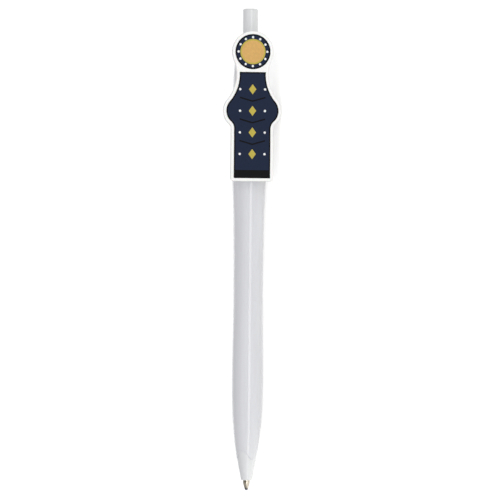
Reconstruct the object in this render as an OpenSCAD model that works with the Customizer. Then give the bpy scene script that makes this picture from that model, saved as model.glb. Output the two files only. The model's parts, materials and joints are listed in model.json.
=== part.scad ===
// Click ballpoint pen with a wide printed plate on its clip, lying as it comes to rest.
// Each piece is drawn with the pen upright: z runs along the axis from the ball up to the button,
// the plate faces -y, and laid_down() then turns the whole pen over on its side.

/* [Barrel outline] */
// Height of the barrel's widest grip ring above the ball
grip_z = 33; // [30:0.5:36]
// Radius at the grip ring
grip_r = 4.68; // [4.6:0.02:4.9]
// Height of the waist
waist_z = 57; // [52:0.5:62]
// Radius at the waist
waist_r = 4.43; // [4.35:0.02:4.6]
// Height where the upper swell begins to show
flare_z = 81; // [78:0.5:84]
// Radius where the upper swell begins to show
flare_r = 4.64; // [4.6:0.02:4.75]
// Height of the upper swell
swell_z = 103; // [100:0.5:106]
// Radius at the upper swell
swell_r = 5.36; // [5.3:0.02:5.6]
// Height where the barrel ends and the cap begins
collar_z = 118; // [117:0.5:120]
// Radius where the barrel meets the cap
collar_r = 5.16; // [5.1:0.02:5.3]
// Thickness of the barrel wall at the waist
barrel_wall = 1.13; // [1:0.02:1.2]

/* [Nose cone] */
// Height of the nose cone's open end
nose_z = 3.1; // [2.8:0.1:3.4]
// Radius of the nose at its open end
nose_r = 1.72; // [1.6:0.02:1.8]
// Rounding of the open end's edge
nose_lip = 0.2; // [0.1:0.05:0.3]
// How full the nose is: 1 is a straight cone, more is rounder
nose_fullness = 2.3; // [2:0.1:2.6]
// Mean height of the wavy seam
seam_z = 10.75; // [10.4:0.05:11.2]
// Height of the seam's waves, from trough to crest
seam_wave = 2.7; // [1.5:0.1:3]
// Number of waves round the seam
seam_waves = 3; // [2:1:5]
// How far the nose cone lies under the barrel's surface at the seam
seam_step = 0.1; // [0.04:0.02:0.16]
// Radius of the exit bore that guides the tip
exit_r = 1.14; // [1.1:0.01:1.2]
// Length of the exit bore
exit_len = 2.5; // [2:0.1:3]
// Length of the funnel behind the exit bore
funnel_len = 2; // [1.6:0.1:2.2]
// Radius of the nose cone's spigot in the barrel
spigot_r = 2.3; // [2.26:0.01:2.34]
// Height of the spigot's upper end
spigot_top_z = 20; // [19:0.1:21]

/* [Cap and clip] */
// Height of the cap's top
cap_top_z = 134.5; // [133.5:0.1:135.5]
// Radius of the cap at its shoulder
cap_shoulder_r = 4.72; // [4.6:0.02:4.9]
// Height of the cap's shoulder
cap_shoulder_z = 127.5; // [126.5:0.1:128.5]
// Radius of the flat at the cap's top
cap_top_r = 3.5; // [3.3:0.05:3.7]
// Height of the rounded edge round that flat
cap_edge = 0.9; // [0.6:0.1:1.2]
// Thickness of the cap's spigot in the barrel
cap_spigot_wall = 0.65; // [0.6:0.01:0.72]
// Length of the cap's spigot in the barrel
cap_spigot_len = 6; // [5:0.1:7]
// Width of the clip arm
arm_w = 5.2; // [4.4:0.1:6]
// Thickness of the clip arm
arm_t = 1.5; // [1.3:0.05:1.8]
// Space between the swell and the clip arm
clip_gap = 1.25; // [1.1:0.05:1.6]
// Height of the clip arm's lower end
arm_low_z = 96; // [95:0.5:98]
// Height of the top of the boss that joins the arm to the cap
boss_top_z = 132; // [131:0.1:132.6]
// Height of the boss
boss_h = 8; // [7:0.1:9]
// Height of the gripping bump above the arm's lower end
bump_up = 4; // [3:0.1:5]
// Radius of the gripping bump
bump_r = 2.2; // [2:0.1:2.6]
// Space between the gripping bump and the barrel
bump_gap = 0.2; // [0.15:0.05:0.4]

/* [Plate] */
// Thickness of the plate
plate_t = 1.6; // [1.4:0.05:2]
// Thickness of the adhesive tape
tape_t = 0.3; // [0.2:0.05:0.4]
// Length of the adhesive tape
tape_len = 28; // [24:0.5:30]
// Height of the adhesive tape above the arm's lower end
tape_up = 2; // [1:0.1:3]
// Width of the adhesive tape
tape_w = 4.6; // [4:0.1:5]
// Height of the plate's lower edge
plate_z = 92.5; // [92:0.1:93]
// Width of the plate's stem
stem_w = 12.7; // [12.2:0.1:13.2]
// Corner radius at the foot of the stem
foot_r = 1.1; // [0.8:0.1:1.5]
// Height of the middle of the plate's round head
head_z = 130.95; // [130.5:0.05:131.4]
// Radius of the plate's round head
head_r = 6.15; // [6:0.05:6.3]
// Height of the middle of the plate's bead
bead_z = 113.4; // [113:0.1:114]
// Width of the plate's bead
bead_w = 17.4; // [17:0.1:17.8]
// Radius of the bead's round ends
bead_r = 5.2; // [5:0.1:5.5]
// Radius of the hollow between the head and the bead
neck_hollow_r = 11.6; // [11:0.1:12.4]
// Radius of the hollow between the bead and the stem
stem_hollow_r = 1.8; // [1.4:0.1:2.2]

/* [Print] */
// Thickness of the raised ink
ink_t = 0.1; // [0.06:0.02:0.16]
// Bare margin round the print
margin = 0.95; // [0.8:0.05:1.2]
// Width of the dark edge line
line_w = 0.42; // [0.3:0.02:0.6]
// Radius of the tan disc on the head
disc_r = 3.3; // [3:0.05:3.4]
// Width of the gold ring round the disc
ring_w = 0.45; // [0.3:0.05:0.5]
// Height where the body print ends, under the head
body_print_top = 124.9; // [124:0.1:125.2]
// Height of the dark band at the foot
foot_band_h = 2.4; // [2:0.1:3]
// Width of a gold diamond
diamond_w = 2.2; // [1.8:0.1:3]
// Height of a gold diamond
diamond_h = 3; // [2.4:0.1:3.6]
// Distance from one diamond to the next
diamond_step = 6.4; // [6:0.1:6.8]
// Number of diamonds
diamond_count = 4; // [2:1:4]
// Radius of a bare dot
dot_r = 0.36; // [0.3:0.02:0.44]
// Distance of a dot from the stem's side
dot_in = 2.3; // [2.1:0.1:2.6]
// Number of bare dots round the head
head_dots = 12; // [6:1:16]
// Width of a dark chevron's stripe
chevron_h = 0.45; // [0.3:0.05:0.8]
// Width of a dark chevron from end to end
chevron_w = 7.6; // [6.6:0.1:8]
// How far a chevron's ends stand above its point
chevron_rise = 1.1; // [0.8:0.1:1.4]

/* [Button and cam] */
// Height of the button's top
button_top_z = 144.4; // [143.8:0.1:145]
// Radius of the button's stem
button_r = 2.3; // [2.25:0.01:2.35]
// Rounding of the button's top edge
button_round = 0.5; // [0.3:0.05:0.8]
// How far the button moves up when the tip goes in
click_travel = 4.8; // [4.4:0.1:5]
// How far the button can still be pushed down
press_travel = 1.4; // [1.2:0.05:1.5]
// Sliding clearance on the radius
slide_fit = 0.1; // [0.06:0.01:0.12]
// Clearance of a fixed fit on the radius
seat_fit = 0.05; // [0.03:0.01:0.08]
// Number of ribs in the guide sleeve
rib_count = 4; // [4:1:4]
// Height of the ribs' lower ends
rib_z = 112.2; // [111.8:0.1:112.6]
// Radius of the bottom of the grooves
groove_r = 3.12; // [3.05:0.01:3.2]
// Outer radius of the guide sleeve
sleeve_r = 3.6; // [3.55:0.01:3.7]
// Length of the guide sleeve
sleeve_len = 23.2; // [22.8:0.1:23.6]
// How far the sleeve's lower end lies below the cap
sleeve_drop = 15; // [14.6:0.1:15.4]
// Length of the sleeve's closed head above the grooves
sleeve_head = 3; // [2.6:0.1:3.4]
// Angle that a rib covers
rib_angle = 45; // [42:1:48]
// Angle that a key or a fin covers
key_angle = 32; // [28:1:34]
// Length of the rotor's fins
fin_len = 3.2; // [2.8:0.1:3.6]
// Gap between the cam's faces along the axis
cam_gap = 0.1; // [0.06:0.02:0.2]
// Height of the cam teeth
tooth_h = 0.7; // [0.5:0.05:0.9]
// Number of cam teeth
tooth_count = 8; // [8:1:8]
// Radius of the rotor's body
rotor_r = 2.3; // [2.2:0.02:2.36]
// Depth of the rotor's socket for the refill
socket_depth = 3; // [2.6:0.1:3.4]
// Radius of the rotor's pilot pin
pilot_r = 0.9; // [0.8:0.05:1]
// Length of the rotor's pilot pin above the ribs' lower ends
pilot_len = 5; // [4:0.1:6]
// Depth of the button's bore for the pilot pin
pilot_bore_len = 8; // [7:0.1:10]

/* [Refill] */
// Outer radius of the refill tube
tube_r = 1.5; // [1.46:0.01:1.55]
// Bore radius of the refill tube
tube_bore_r = 1; // [0.9:0.02:1.05]
// Height of the refill tube's lower end
tube_z = 11; // [10.8:0.1:11.4]
// Height of the refill tube's upper end
tube_top_z = 109.3; // [109.1:0.1:109.5]
// Height where the ink ends
ink_top_z = 86; // [40:1:90]
// Length of the tip's plug in the tube
plug_len = 4; // [3:0.1:5]
// Length of the grease behind the ink
grease_len = 4; // [3:0.5:6]
// Radius of the writing ball
ball_r = 0.35; // [0.3:0.01:0.4]
// Running clearance of the ball in its socket
ball_fit = 0.015; // [0.01:0.005:0.02]
// Wall left round the ball at the tip's rim
rim_wall = 0.08; // [0.06:0.01:0.1]
// Height of the tip's rim as a share of the ball's radius
rim_share = 0.6; // [0.5:0.05:0.7]
// Height where the tip's cone ends
cone_z = 1.95; // [1.8:0.05:2.1]
// Radius where the tip's cone ends
cone_r = 0.93; // [0.9:0.01:0.96]
// Length of the rounding between the tip's cone and its shank
tip_ease = 0.6; // [0.4:0.05:0.8]
// Height of the lower edge of the tip's collar
tip_collar_z = 9.6; // [9.4:0.1:9.8]
// Radius of the tip's bright shank
shank_r = 1.02; // [1:0.01:1.05]
// Radius of the tip's collar
tip_collar_r = 1.36; // [1.3:0.01:1.4]
// Radius of the ink channel in the tip
channel_r = 0.2; // [0.16:0.01:0.24]
// Radius of the spring's coils, to the middle of the wire
spring_r = 1.96; // [1.9:0.01:2]
// Radius of the spring's wire
wire_r = 0.19; // [0.15:0.01:0.22]
// Number of open turns in the spring
spring_turns = 8; // [6:1:9]
// Length of the tube's ears
ear_len = 2.2; // [1.8:0.1:2.6]
// Thickness of the tube's ears
ear_t = 0.8; // [0.6:0.05:1]
// Length of the spring when the tip is out
spring_len = 15; // [14:0.1:16]

/* [Hidden] */

$fn = 96;

// Overlap of joined solids, how far a cut runs on, and a length past the widest piece
tiny = 0.02;
over = 1;
far = 40;

// Smallest corner, and the steps of the curves that are drawn by points
least_corner = 0.1;
arc_step = 5;
run_steps = 8;
nose_steps = 20;
wave_steps = 72;
round_steps = 6;
wire_sides = 6;
steps_per_turn = 16;

// Heights and radii that follow from the sizes above
barrel_bore_r = waist_r - barrel_wall;
sleeve_z = collar_z - sleeve_drop;
sleeve_top_z = sleeve_z + sleeve_len;
groove_top_z = sleeve_top_z - sleeve_head;
sleeve_seat_r = sleeve_r + seat_fit;
stem_bore_r = button_r + slide_fit;
cap_spigot_r = sleeve_seat_r + cap_spigot_wall;
nose_bore_r = tube_r + slide_fit;
spring_z = spigot_top_z + tiny;
ear_z = spring_z + spring_len + tiny;
ear_r = spring_r + wire_r;
key_r = groove_r - slide_fit;
fin_top_z = rib_z - cam_gap;
key_z = rib_z + press_travel - cam_gap;
key_top_z = groove_top_z - click_travel - 2 * cam_gap;
arm_in = swell_r + clip_gap;
arm_out = arm_in + arm_t;
plate_in = arm_out + tape_t;
plate_out = plate_in + plate_t;
plug_r = tube_bore_r - tiny;

// Where the pen touches the ground: the grip, the swell and the side of the plate's bead
pitch = atan2(swell_r - grip_r, swell_z - grip_z);
bead_lift = grip_r + (bead_z - grip_z) * tan(pitch);
bead_reach = norm([bead_w / 2, plate_in]);
lean = 90 - atan2(plate_in, bead_w / 2) - asin(bead_lift / bead_reach);
rest_height = grip_r * cos(pitch) - grip_z * sin(pitch);

// How far the laid pen reaches to its front, its back and its right
reach_front = bead_w / 2 * sin(lean) + plate_out * cos(lean);
reach_back = swell_r;
reach_right = button_top_z * cos(pitch);

module laid_down() {
    translate([-reach_right / 2, (reach_front - reach_back) / 2, rest_height])
        rotate([0, -pitch, 0])
            rotate([-lean, 0, 0])
                rotate([0, 90, 0])
                    children();
}

// Smooth curve through a few stations, each a height and a radius
function slope_at(s, i) =
    i == 0 || i == len(s) - 1 ? 0
    : (s[i + 1][1] - s[i - 1][1]) / (s[i + 1][0] - s[i - 1][0]);
function blend_radius(s, i, t, h) =
    (2 * pow(t, 3) - 3 * pow(t, 2) + 1) * s[i][1]
    + (pow(t, 3) - 2 * pow(t, 2) + t) * h * slope_at(s, i)
    + (3 * pow(t, 2) - 2 * pow(t, 3)) * s[i + 1][1]
    + (pow(t, 3) - pow(t, 2)) * h * slope_at(s, i + 1);
function smooth_run(s) = [
    for (i = [0 : len(s) - 2])
        for (k = [0 : run_steps - 1])
            let (h = s[i + 1][0] - s[i][0], t = k / run_steps)
                [blend_radius(s, i, t, h), s[i][0] + h * t]
];

// Outline of the nose, from its open end up to the grip ring
function nose_radius(z) =
    grip_r - (grip_r - nose_r) * pow((grip_z - z) / (grip_z - nose_z), nose_fullness);
function nose_outline(inset) = concat(
    [[nose_r - inset - nose_lip, nose_z]],
    [
        for (k = [0 : nose_steps - 1])
            let (z = nose_z + nose_lip + (grip_z - nose_z - nose_lip) * k / nose_steps)
                [nose_radius(z) - inset, z]
    ]
);

// Heights and radii that the barrel's and the cap's outlines run through
barrel_stations = [
    [grip_z, grip_r], [waist_z, waist_r], [flare_z, flare_r], [swell_z, swell_r], [collar_z, collar_r]
];
cap_stations = [
    [collar_z, collar_r],
    [cap_shoulder_z, cap_shoulder_r],
    [cap_top_z - cap_edge, cap_top_r + cap_edge / 2],
    [cap_top_z, cap_top_r]
];

module ring(r_in, r_out, z_low, z_high) {
    translate([0, 0, z_low])
        difference() {
            cylinder(r = r_out, h = z_high - z_low);
            translate([0, 0, -over])
                cylinder(r = r_in, h = z_high - z_low + 2 * over);
        }
}

module bore(r, z_low, z_high) {
    translate([0, 0, z_low])
        cylinder(r = r, h = z_high - z_low);
}

// Equal parts of a ring, spaced round the axis
module sectors(r_in, r_out, z_low, z_high, angle, turn) {
    for (i = [0 : rib_count - 1])
        translate([0, 0, z_low])
            linear_extrude(z_high - z_low)
                intersection() {
                    difference() {
                        circle(r = r_out);
                        circle(r = r_in);
                    }
                    rotate(turn + i * 360 / rib_count)
                        polygon([
                            [0, 0],
                            [far * cos(angle / 2), -far * sin(angle / 2)],
                            [far * cos(angle / 2), far * sin(angle / 2)]
                        ]);
                }
}

// Slanted notches cut across an end face, downwards from z or, if flipped, upwards
module cam_notches(z, flip) {
    notch_w = PI * rotor_r / tooth_count;
    for (i = [0 : tooth_count - 1])
        rotate(i * 360 / tooth_count)
            translate([0, 0, z])
                mirror([0, 0, flip ? 1 : 0])
                    rotate([90, 0, 90])
                        linear_extrude(far)
                            polygon([
                                [-notch_w / 2, tiny],
                                [notch_w / 2, tiny],
                                [notch_w / 2, -tooth_h]
                            ]);
}

// Everything below the wavy seam
wave_hub = 1;
wave_rim = 6;
function wave_z(a) = seam_z + seam_wave / 2 * cos(seam_waves * a);
module below_seam() {
    function ring_points(r, flat) = [
        for (k = [0 : wave_steps - 1])
            let (a = k * 360 / wave_steps)
                [r * cos(a), r * sin(a), flat ? 0 : wave_z(a)]
    ];
    points = concat(
        [[0, 0, 0], [0, 0, seam_z]],
        ring_points(wave_rim, true),
        ring_points(wave_rim, false),
        ring_points(wave_hub, false)
    );
    faces = [
        for (k = [0 : wave_steps - 1])
            let (
                low = 2 + k,
                low_next = 2 + (k + 1) % wave_steps,
                high = low + wave_steps,
                high_next = low_next + wave_steps,
                hub = high + wave_steps,
                hub_next = high_next + wave_steps
            )
                each [
                    [0, low, low_next],
                    [low, high, high_next],
                    [low, high_next, low_next],
                    [high, hub, hub_next],
                    [high, hub_next, high_next],
                    [1, hub_next, hub]
                ]
    ];
    polyhedron(points, faces);
}

module barrel() {
    color("gainsboro")
        laid_down()
            difference() {
                rotate_extrude()
                    polygon(concat(
                        [[0, nose_z]],
                        nose_outline(0),
                        smooth_run(barrel_stations),
                        [[collar_r, collar_z], [0, collar_z]]
                    ));
                below_seam();
                bore(spigot_r + seat_fit, nose_z, spigot_top_z + over);
                bore(barrel_bore_r, spigot_top_z, collar_z + over);
                bore(sleeve_seat_r, sleeve_z, collar_z + over);
                bore(cap_spigot_r + seat_fit, collar_z - cap_spigot_len - seat_fit, collar_z + over);
            }
}

module nose_cone() {
    funnel_z = nose_z + exit_len;
    color("white")
        laid_down()
            difference() {
                union() {
                    intersection() {
                        rotate_extrude()
                            polygon(concat([[0, nose_z]], nose_outline(seam_step), [[0, grip_z]]));
                        below_seam();
                    }
                    bore(spigot_r, seam_z - seam_wave, spigot_top_z);
                }
                bore(exit_r, 0, funnel_z + tiny);
                translate([0, 0, funnel_z])
                    cylinder(r1 = exit_r, r2 = nose_bore_r, h = funnel_len);
                bore(nose_bore_r, funnel_z + funnel_len, spigot_top_z + over);
            }
}

module clip_cap() {
    color("whitesmoke")
        laid_down()
            difference() {
                union() {
                    rotate_extrude()
                        polygon(concat(
                            [[0, collar_z]],
                            smooth_run(cap_stations),
                            [[cap_top_r, cap_top_z], [0, cap_top_z]]
                        ));
                    bore(cap_spigot_r, collar_z - cap_spigot_len, collar_z + tiny);
                    translate([-arm_w / 2, -arm_out, arm_low_z])
                        cube([arm_w, arm_t, boss_top_z - arm_low_z]);
                    translate([-arm_w / 2, -arm_in - tiny, boss_top_z - boss_h])
                        cube([arm_w, arm_in, boss_h]);
                    clip_bump();
                }
                bore(sleeve_seat_r, 0, sleeve_top_z + seat_fit);
                bore(stem_bore_r, 0, cap_top_z + over);
            }
}

// Rounded bar across the arm that presses on the barrel
module clip_bump() {
    intersection() {
        translate([-arm_w / 2, -swell_r - bump_gap - bump_r, arm_low_z + bump_up])
            rotate([0, 90, 0])
                cylinder(r = bump_r, h = arm_w);
        translate([-arm_w / 2, -arm_out, arm_low_z])
            cube([arm_w, arm_out, far]);
    }
}

module adhesive_tape() {
    color("ivory")
        laid_down()
            translate([-tape_w / 2, -plate_in, arm_low_z + tape_up])
                cube([tape_w, tape_t, tape_len]);
}

// Middles of the hollows on the plate's right side
bead_x = bead_w / 2 - bead_r;
neck_run = norm([bead_x, head_z - bead_z]);
neck_share = (pow(head_r + neck_hollow_r, 2) - pow(bead_r + neck_hollow_r, 2) + pow(neck_run, 2))
    / (2 * neck_run);
neck_off = sqrt(pow(head_r + neck_hollow_r, 2) - pow(neck_share, 2));
neck_x = (bead_x * neck_share + (head_z - bead_z) * neck_off) / neck_run;
neck_z = head_z + (bead_x * neck_off - (head_z - bead_z) * neck_share) / neck_run;
stem_x = stem_w / 2 + stem_hollow_r;
stem_z = bead_z - sqrt(pow(bead_r + stem_hollow_r, 2) - pow(stem_x - bead_x, 2));

// Outline of the plate as a turned peg: round head, neck, bead and stem
function arc(x, z, r, from, to) =
    let (steps = ceil(abs(to - from) / arc_step))
        [
            for (k = [0 : steps])
                let (a = from + (to - from) * k / steps)
                    [x + r * cos(a), z + r * sin(a)]
        ];
head_leave = atan2(neck_z - head_z, neck_x);
bead_meet = atan2(neck_z - bead_z, neck_x - bead_x);
bead_leave = atan2(stem_z - bead_z, stem_x - bead_x);
function right_outline(inset) =
    let (
        corner = max(foot_r - inset, least_corner),
        stem_half = stem_w / 2 - inset
    )
        concat(
            arc(0, head_z, head_r - inset, 90, head_leave),
            arc(neck_x, neck_z, neck_hollow_r + inset, 180 + head_leave, 180 + bead_meet),
            arc(bead_x, bead_z, bead_r - inset, bead_meet, bead_leave),
            arc(stem_x, stem_z, stem_hollow_r + inset, 180 + bead_leave, 180),
            arc(stem_half - corner, plate_z + inset + corner, corner, 0, -90)
        );
module plate_outline(inset) {
    right = right_outline(inset);
    polygon(concat(
        right,
        [for (i = [len(right) - 1 : -1 : 1]) [-right[i][0], right[i][1]]]
    ));
}

module clip_plate() {
    color("white")
        laid_down()
            translate([0, -plate_in, 0])
                rotate([90, 0, 0])
                    linear_extrude(plate_t)
                        plate_outline(0);
}

// A flat field of raised ink on the plate's face
module ink() {
    laid_down()
        translate([0, -plate_out, 0])
            rotate([90, 0, 0])
                linear_extrude(ink_t)
                    children();
}

// The body's printed field below the head
module body_field(inset) {
    intersection() {
        plate_outline(margin + inset);
        translate([-far / 2, 0])
            square([far, body_print_top - inset]);
    }
}

module head_field(inset) {
    translate([0, head_z])
        circle(r = head_r - margin - inset);
}

module foot_band() {
    intersection() {
        body_field(line_w);
        translate([-far / 2, 0])
            square([far, plate_z + margin + foot_band_h]);
    }
}

function diamond_z(i) = bead_z + (1 - i) * diamond_step;
module diamonds() {
    for (i = [0 : diamond_count - 1])
        translate([0, diamond_z(i)])
            polygon([
                [0, -diamond_h / 2], [diamond_w / 2, 0], [0, diamond_h / 2], [-diamond_w / 2, 0]
            ]);
}

module chevrons() {
    for (i = [0 : diamond_count - 2])
        translate([0, (diamond_z(i) + diamond_z(i + 1) - chevron_rise) / 2])
            polygon([
                [0, 0],
                [chevron_w / 2, chevron_rise],
                [chevron_w / 2, chevron_rise + chevron_h],
                [0, chevron_h],
                [-chevron_w / 2, chevron_rise + chevron_h],
                [-chevron_w / 2, chevron_rise]
            ]);
}

module bare_dots() {
    for (side = [-1, 1])
        for (i = [0 : diamond_count - 1])
            translate([side * (stem_w / 2 - dot_in - dot_r), diamond_z(i)])
                circle(r = dot_r);
    for (i = [0 : head_dots - 1])
        translate([0, head_z])
            rotate(i * 360 / head_dots)
                translate([(disc_r + ring_w + head_r - margin - line_w) / 2, 0])
                    circle(r = dot_r);
}

module print_navy() {
    color("midnightblue")
        ink()
            difference() {
                union() {
                    head_field(line_w);
                    body_field(line_w);
                }
                translate([0, head_z])
                    circle(r = disc_r + ring_w);
                foot_band();
                diamonds();
                chevrons();
                bare_dots();
            }
}

module print_tan() {
    color("burlywood")
        ink()
            translate([0, head_z])
                circle(r = disc_r);
}

module print_gold() {
    color("goldenrod")
        ink() {
            translate([0, head_z])
                difference() {
                    circle(r = disc_r + ring_w);
                    circle(r = disc_r);
                }
            diamonds();
        }
}

module print_black() {
    color("black")
        ink() {
            difference() {
                head_field(0);
                head_field(line_w);
            }
            difference() {
                body_field(0);
                body_field(line_w);
            }
            foot_band();
            chevrons();
        }
}

module push_button() {
    color("whitesmoke")
        laid_down()
            difference() {
                union() {
                    rotate_extrude()
                        polygon(concat(
                            [[0, rib_z], [button_r, rib_z]],
                            [
                                for (k = [0 : round_steps])
                                    let (a = 90 * k / round_steps)
                                        [
                                            button_r - button_round * (1 - cos(a)),
                                            button_top_z - button_round * (1 - sin(a))
                                        ]
                            ],
                            [[0, button_top_z]]
                        ));
                    sectors(button_r - tiny, key_r, key_z, key_top_z, key_angle, 0);
                }
                cam_notches(rib_z, true);
                bore(pilot_r + slide_fit, 0, rib_z + pilot_bore_len);
            }
}

module cam_rotor() {
    low_z = tube_top_z - socket_depth;
    color("white")
        laid_down()
            difference() {
                union() {
                    difference() {
                        bore(rotor_r, low_z, fin_top_z);
                        cam_notches(fin_top_z, false);
                    }
                    bore(pilot_r, tube_top_z + over, rib_z + pilot_len);
                    sectors(rotor_r - tiny, key_r, fin_top_z - fin_len, fin_top_z, key_angle, 0);
                }
                bore(nose_bore_r, 0, tube_top_z + seat_fit);
            }
}

module guide_sleeve() {
    color("lightgray")
        laid_down()
            union() {
                ring(groove_r, sleeve_r, sleeve_z, sleeve_top_z);
                ring(stem_bore_r, groove_r + tiny, groove_top_z, sleeve_top_z);
                sectors(stem_bore_r, groove_r + tiny, rib_z, groove_top_z + tiny, rib_angle, 45);
            }
}

// The spring's wire, with one closed turn at each end
function wire_height(turn) =
    let (
        lead = 2 * wire_r + tiny,
        open_lead = (spring_len - 2 * wire_r - 2 * lead) / spring_turns
    )
        spring_z + wire_r
        + (turn < 1 ? turn * lead
            : turn < spring_turns + 1 ? lead + (turn - 1) * open_lead
            : lead + spring_turns * open_lead + (turn - spring_turns - 1) * lead);
module return_spring() {
    rings = (spring_turns + 2) * steps_per_turn;
    points = [
        for (i = [0 : rings])
            for (j = [0 : wire_sides - 1])
                let (
                    a = i * 360 / steps_per_turn,
                    b = j * 360 / wire_sides,
                    r = spring_r + wire_r * cos(b)
                )
                    [r * cos(a), r * sin(a), wire_height(i / steps_per_turn) + wire_r * sin(b)]
    ];
    sides = [
        for (i = [0 : rings - 1])
            for (j = [0 : wire_sides - 1])
                let (
                    here = i * wire_sides + j,
                    beside = i * wire_sides + (j + 1) % wire_sides
                )
                    each [
                        [here, beside, beside + wire_sides],
                        [here, beside + wire_sides, here + wire_sides]
                    ]
    ];
    first_cap = [for (j = [wire_sides - 1 : -1 : 0]) j];
    last_cap = [for (j = [0 : wire_sides - 1]) rings * wire_sides + j];
    color("silver")
        laid_down()
            polyhedron(points, concat(sides, [first_cap, last_cap]));
}

module refill_tube() {
    color("white")
        laid_down()
            difference() {
                union() {
                    bore(tube_r, tube_z, tube_top_z);
                    intersection() {
                        bore(ear_r, ear_z, ear_z + ear_len);
                        translate([-far / 2, -ear_t / 2, ear_z])
                            cube([far, ear_t, ear_len]);
                    }
                }
                bore(tube_bore_r, 0, tube_top_z + over);
            }
}

module ink_column() {
    color("mediumblue")
        laid_down()
            bore(plug_r, tube_z + plug_len + tiny, ink_top_z);
}

module grease_follower() {
    color("khaki")
        laid_down()
            bore(plug_r, ink_top_z, ink_top_z + grease_len);
}

module tip_cone() {
    rim_z = ball_r * rim_share;
    color("goldenrod")
        laid_down()
            difference() {
                rotate_extrude()
                    polygon([
                        [0, rim_z],
                        [ball_r + rim_wall, rim_z],
                        [cone_r, cone_z],
                        [(cone_r + shank_r * 2) / 3, cone_z + tip_ease / 2],
                        [shank_r, cone_z + tip_ease],
                        [shank_r, tip_collar_z],
                        [tip_collar_r, tip_collar_z + tip_collar_r - shank_r],
                        [tip_collar_r, tube_z],
                        [plug_r, tube_z],
                        [plug_r, tube_z + plug_len],
                        [0, tube_z + plug_len]
                    ]);
                translate([0, 0, ball_r])
                    sphere(r = ball_r + ball_fit);
                bore(channel_r, 0, tube_z + plug_len + over);
            }
}

module writing_ball() {
    color("silver")
        laid_down()
            translate([0, 0, ball_r])
                sphere(r = ball_r);
}

barrel();
nose_cone();
clip_cap();
adhesive_tape();
clip_plate();
print_navy();
print_tan();
print_gold();
print_black();
push_button();
cam_rotor();
guide_sleeve();
return_spring();
refill_tube();
ink_column();
grease_follower();
tip_cone();
writing_ball();
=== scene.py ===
import json
import math

import bpy
from mathutils import Matrix, Vector


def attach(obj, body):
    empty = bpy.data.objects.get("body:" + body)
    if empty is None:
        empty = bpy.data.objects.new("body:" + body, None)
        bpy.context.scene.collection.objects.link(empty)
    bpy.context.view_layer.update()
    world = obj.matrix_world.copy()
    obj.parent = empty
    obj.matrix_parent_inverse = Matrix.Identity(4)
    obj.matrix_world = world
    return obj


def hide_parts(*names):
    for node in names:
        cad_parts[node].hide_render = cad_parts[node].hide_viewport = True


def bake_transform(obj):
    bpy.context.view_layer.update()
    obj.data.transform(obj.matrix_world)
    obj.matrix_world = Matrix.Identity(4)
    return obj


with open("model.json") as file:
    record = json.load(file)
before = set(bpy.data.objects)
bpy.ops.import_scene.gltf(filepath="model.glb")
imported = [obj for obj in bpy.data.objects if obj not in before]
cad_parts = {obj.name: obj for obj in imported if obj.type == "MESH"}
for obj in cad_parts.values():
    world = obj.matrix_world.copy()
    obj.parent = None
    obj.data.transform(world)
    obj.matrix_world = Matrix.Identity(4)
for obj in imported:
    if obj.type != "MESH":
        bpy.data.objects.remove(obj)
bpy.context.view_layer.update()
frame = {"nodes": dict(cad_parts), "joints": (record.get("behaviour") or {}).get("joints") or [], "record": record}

# All the pen's sizes are in millimetres, measured with the pen upright and the ball's lowest point at zero
MM = 0.001

# Barrel and nose
GRIP_Z = 33.0
GRIP_R = 4.67
WAIST_Z = 57.0
WAIST_R = 4.43
FLARE_Z = 81.0
FLARE_R = 4.64
SWELL_Z = 103.0
SWELL_R = 5.36
COLLAR_Z = 118.0
COLLAR_R = 5.16
BARREL_BORE_R = 3.3
NOSE_Z = 3.1
NOSE_R = 1.72
NOSE_FULLNESS = 2.3
NOSE_LIP = 0.2
SEAM_Z = 10.75
SEAM_WAVE = 2.7
SEAM_WAVES = 3
SEAM_STEP = 0.1
SEAM_EDGE = 0.09
BARREL_FADE = 5.25
NOSE_FADE = 4.25
WAVE_INNER_R = 2.2
EXIT_R = 1.14
EXIT_LEN = 2.5
FUNNEL_LEN = 2.0
NOSE_BORE_R = 1.6
SPIGOT_R = 2.3
SPIGOT_TOP_Z = 20.0
FIT_ROOM = 0.05
RIM_EDGE = 0.12
BARREL_SIDES = 120
WAVE_RINGS = 14
GRIP_RINGS = 12
BARREL_RINGS = 40
BARREL_LAST_RUN = 1.0
NOSE_RINGS = 8

# The wave moves the surface in and out down to this depth, and what lies deeper only up and down
WAVE_SKIN = 2 * RIM_EDGE + SEAM_STEP

# Cap and clip
CAP_SHOULDER_Z = 127.5
CAP_SHOULDER_R = 4.72
CAP_TOP_Z = 134.5
CAP_TOP_R = 3.5
CAP_EDGE = 0.9
CAP_RINGS = 20
CAP_EDGE_RINGS = 6
CAP_SPIGOT_R = 4.3
CAP_SPIGOT_LEN = 6.0
SLEEVE_HOLE_R = 3.65
SLEEVE_Z = 103.0
SLEEVE_TOP_Z = 126.2
STEM_BORE_R = 2.4
ARM_W = 5.2
ARM_IN = 6.61
ARM_OUT = 8.11
ARM_LOW_Z = 96.0
ARM_EDGE = 0.35
BOSS_TOP_Z = 132.0
BOSS_H = 8.0
BOSS_ROOT_R = 1.0
BUMP_Z = 100.0
BUMP_R = 2.2
BUMP_REACH = 5.56
BUMP_EDGE = 0.2
BUMP_SIDES = 64
CUTTER_OVER = 1.0

# Plate
PLATE_IN = 8.41
PLATE_T = 1.6
PLATE_Z = 92.5
STEM_W = 12.7
FOOT_R = 1.1
HEAD_Z = 130.95
HEAD_R = 6.15
BEAD_Z = 113.4
BEAD_W = 17.4
BEAD_R = 5.2
NECK_HOLLOW_R = 11.6
STEM_HOLLOW_R = 1.8
PLATE_FRONT_EDGE = 0.28
PLATE_BACK_EDGE = 0.1
PLATE_EDGE_STEPS = 5
OUTLINE_STEP = 2.5

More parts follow.
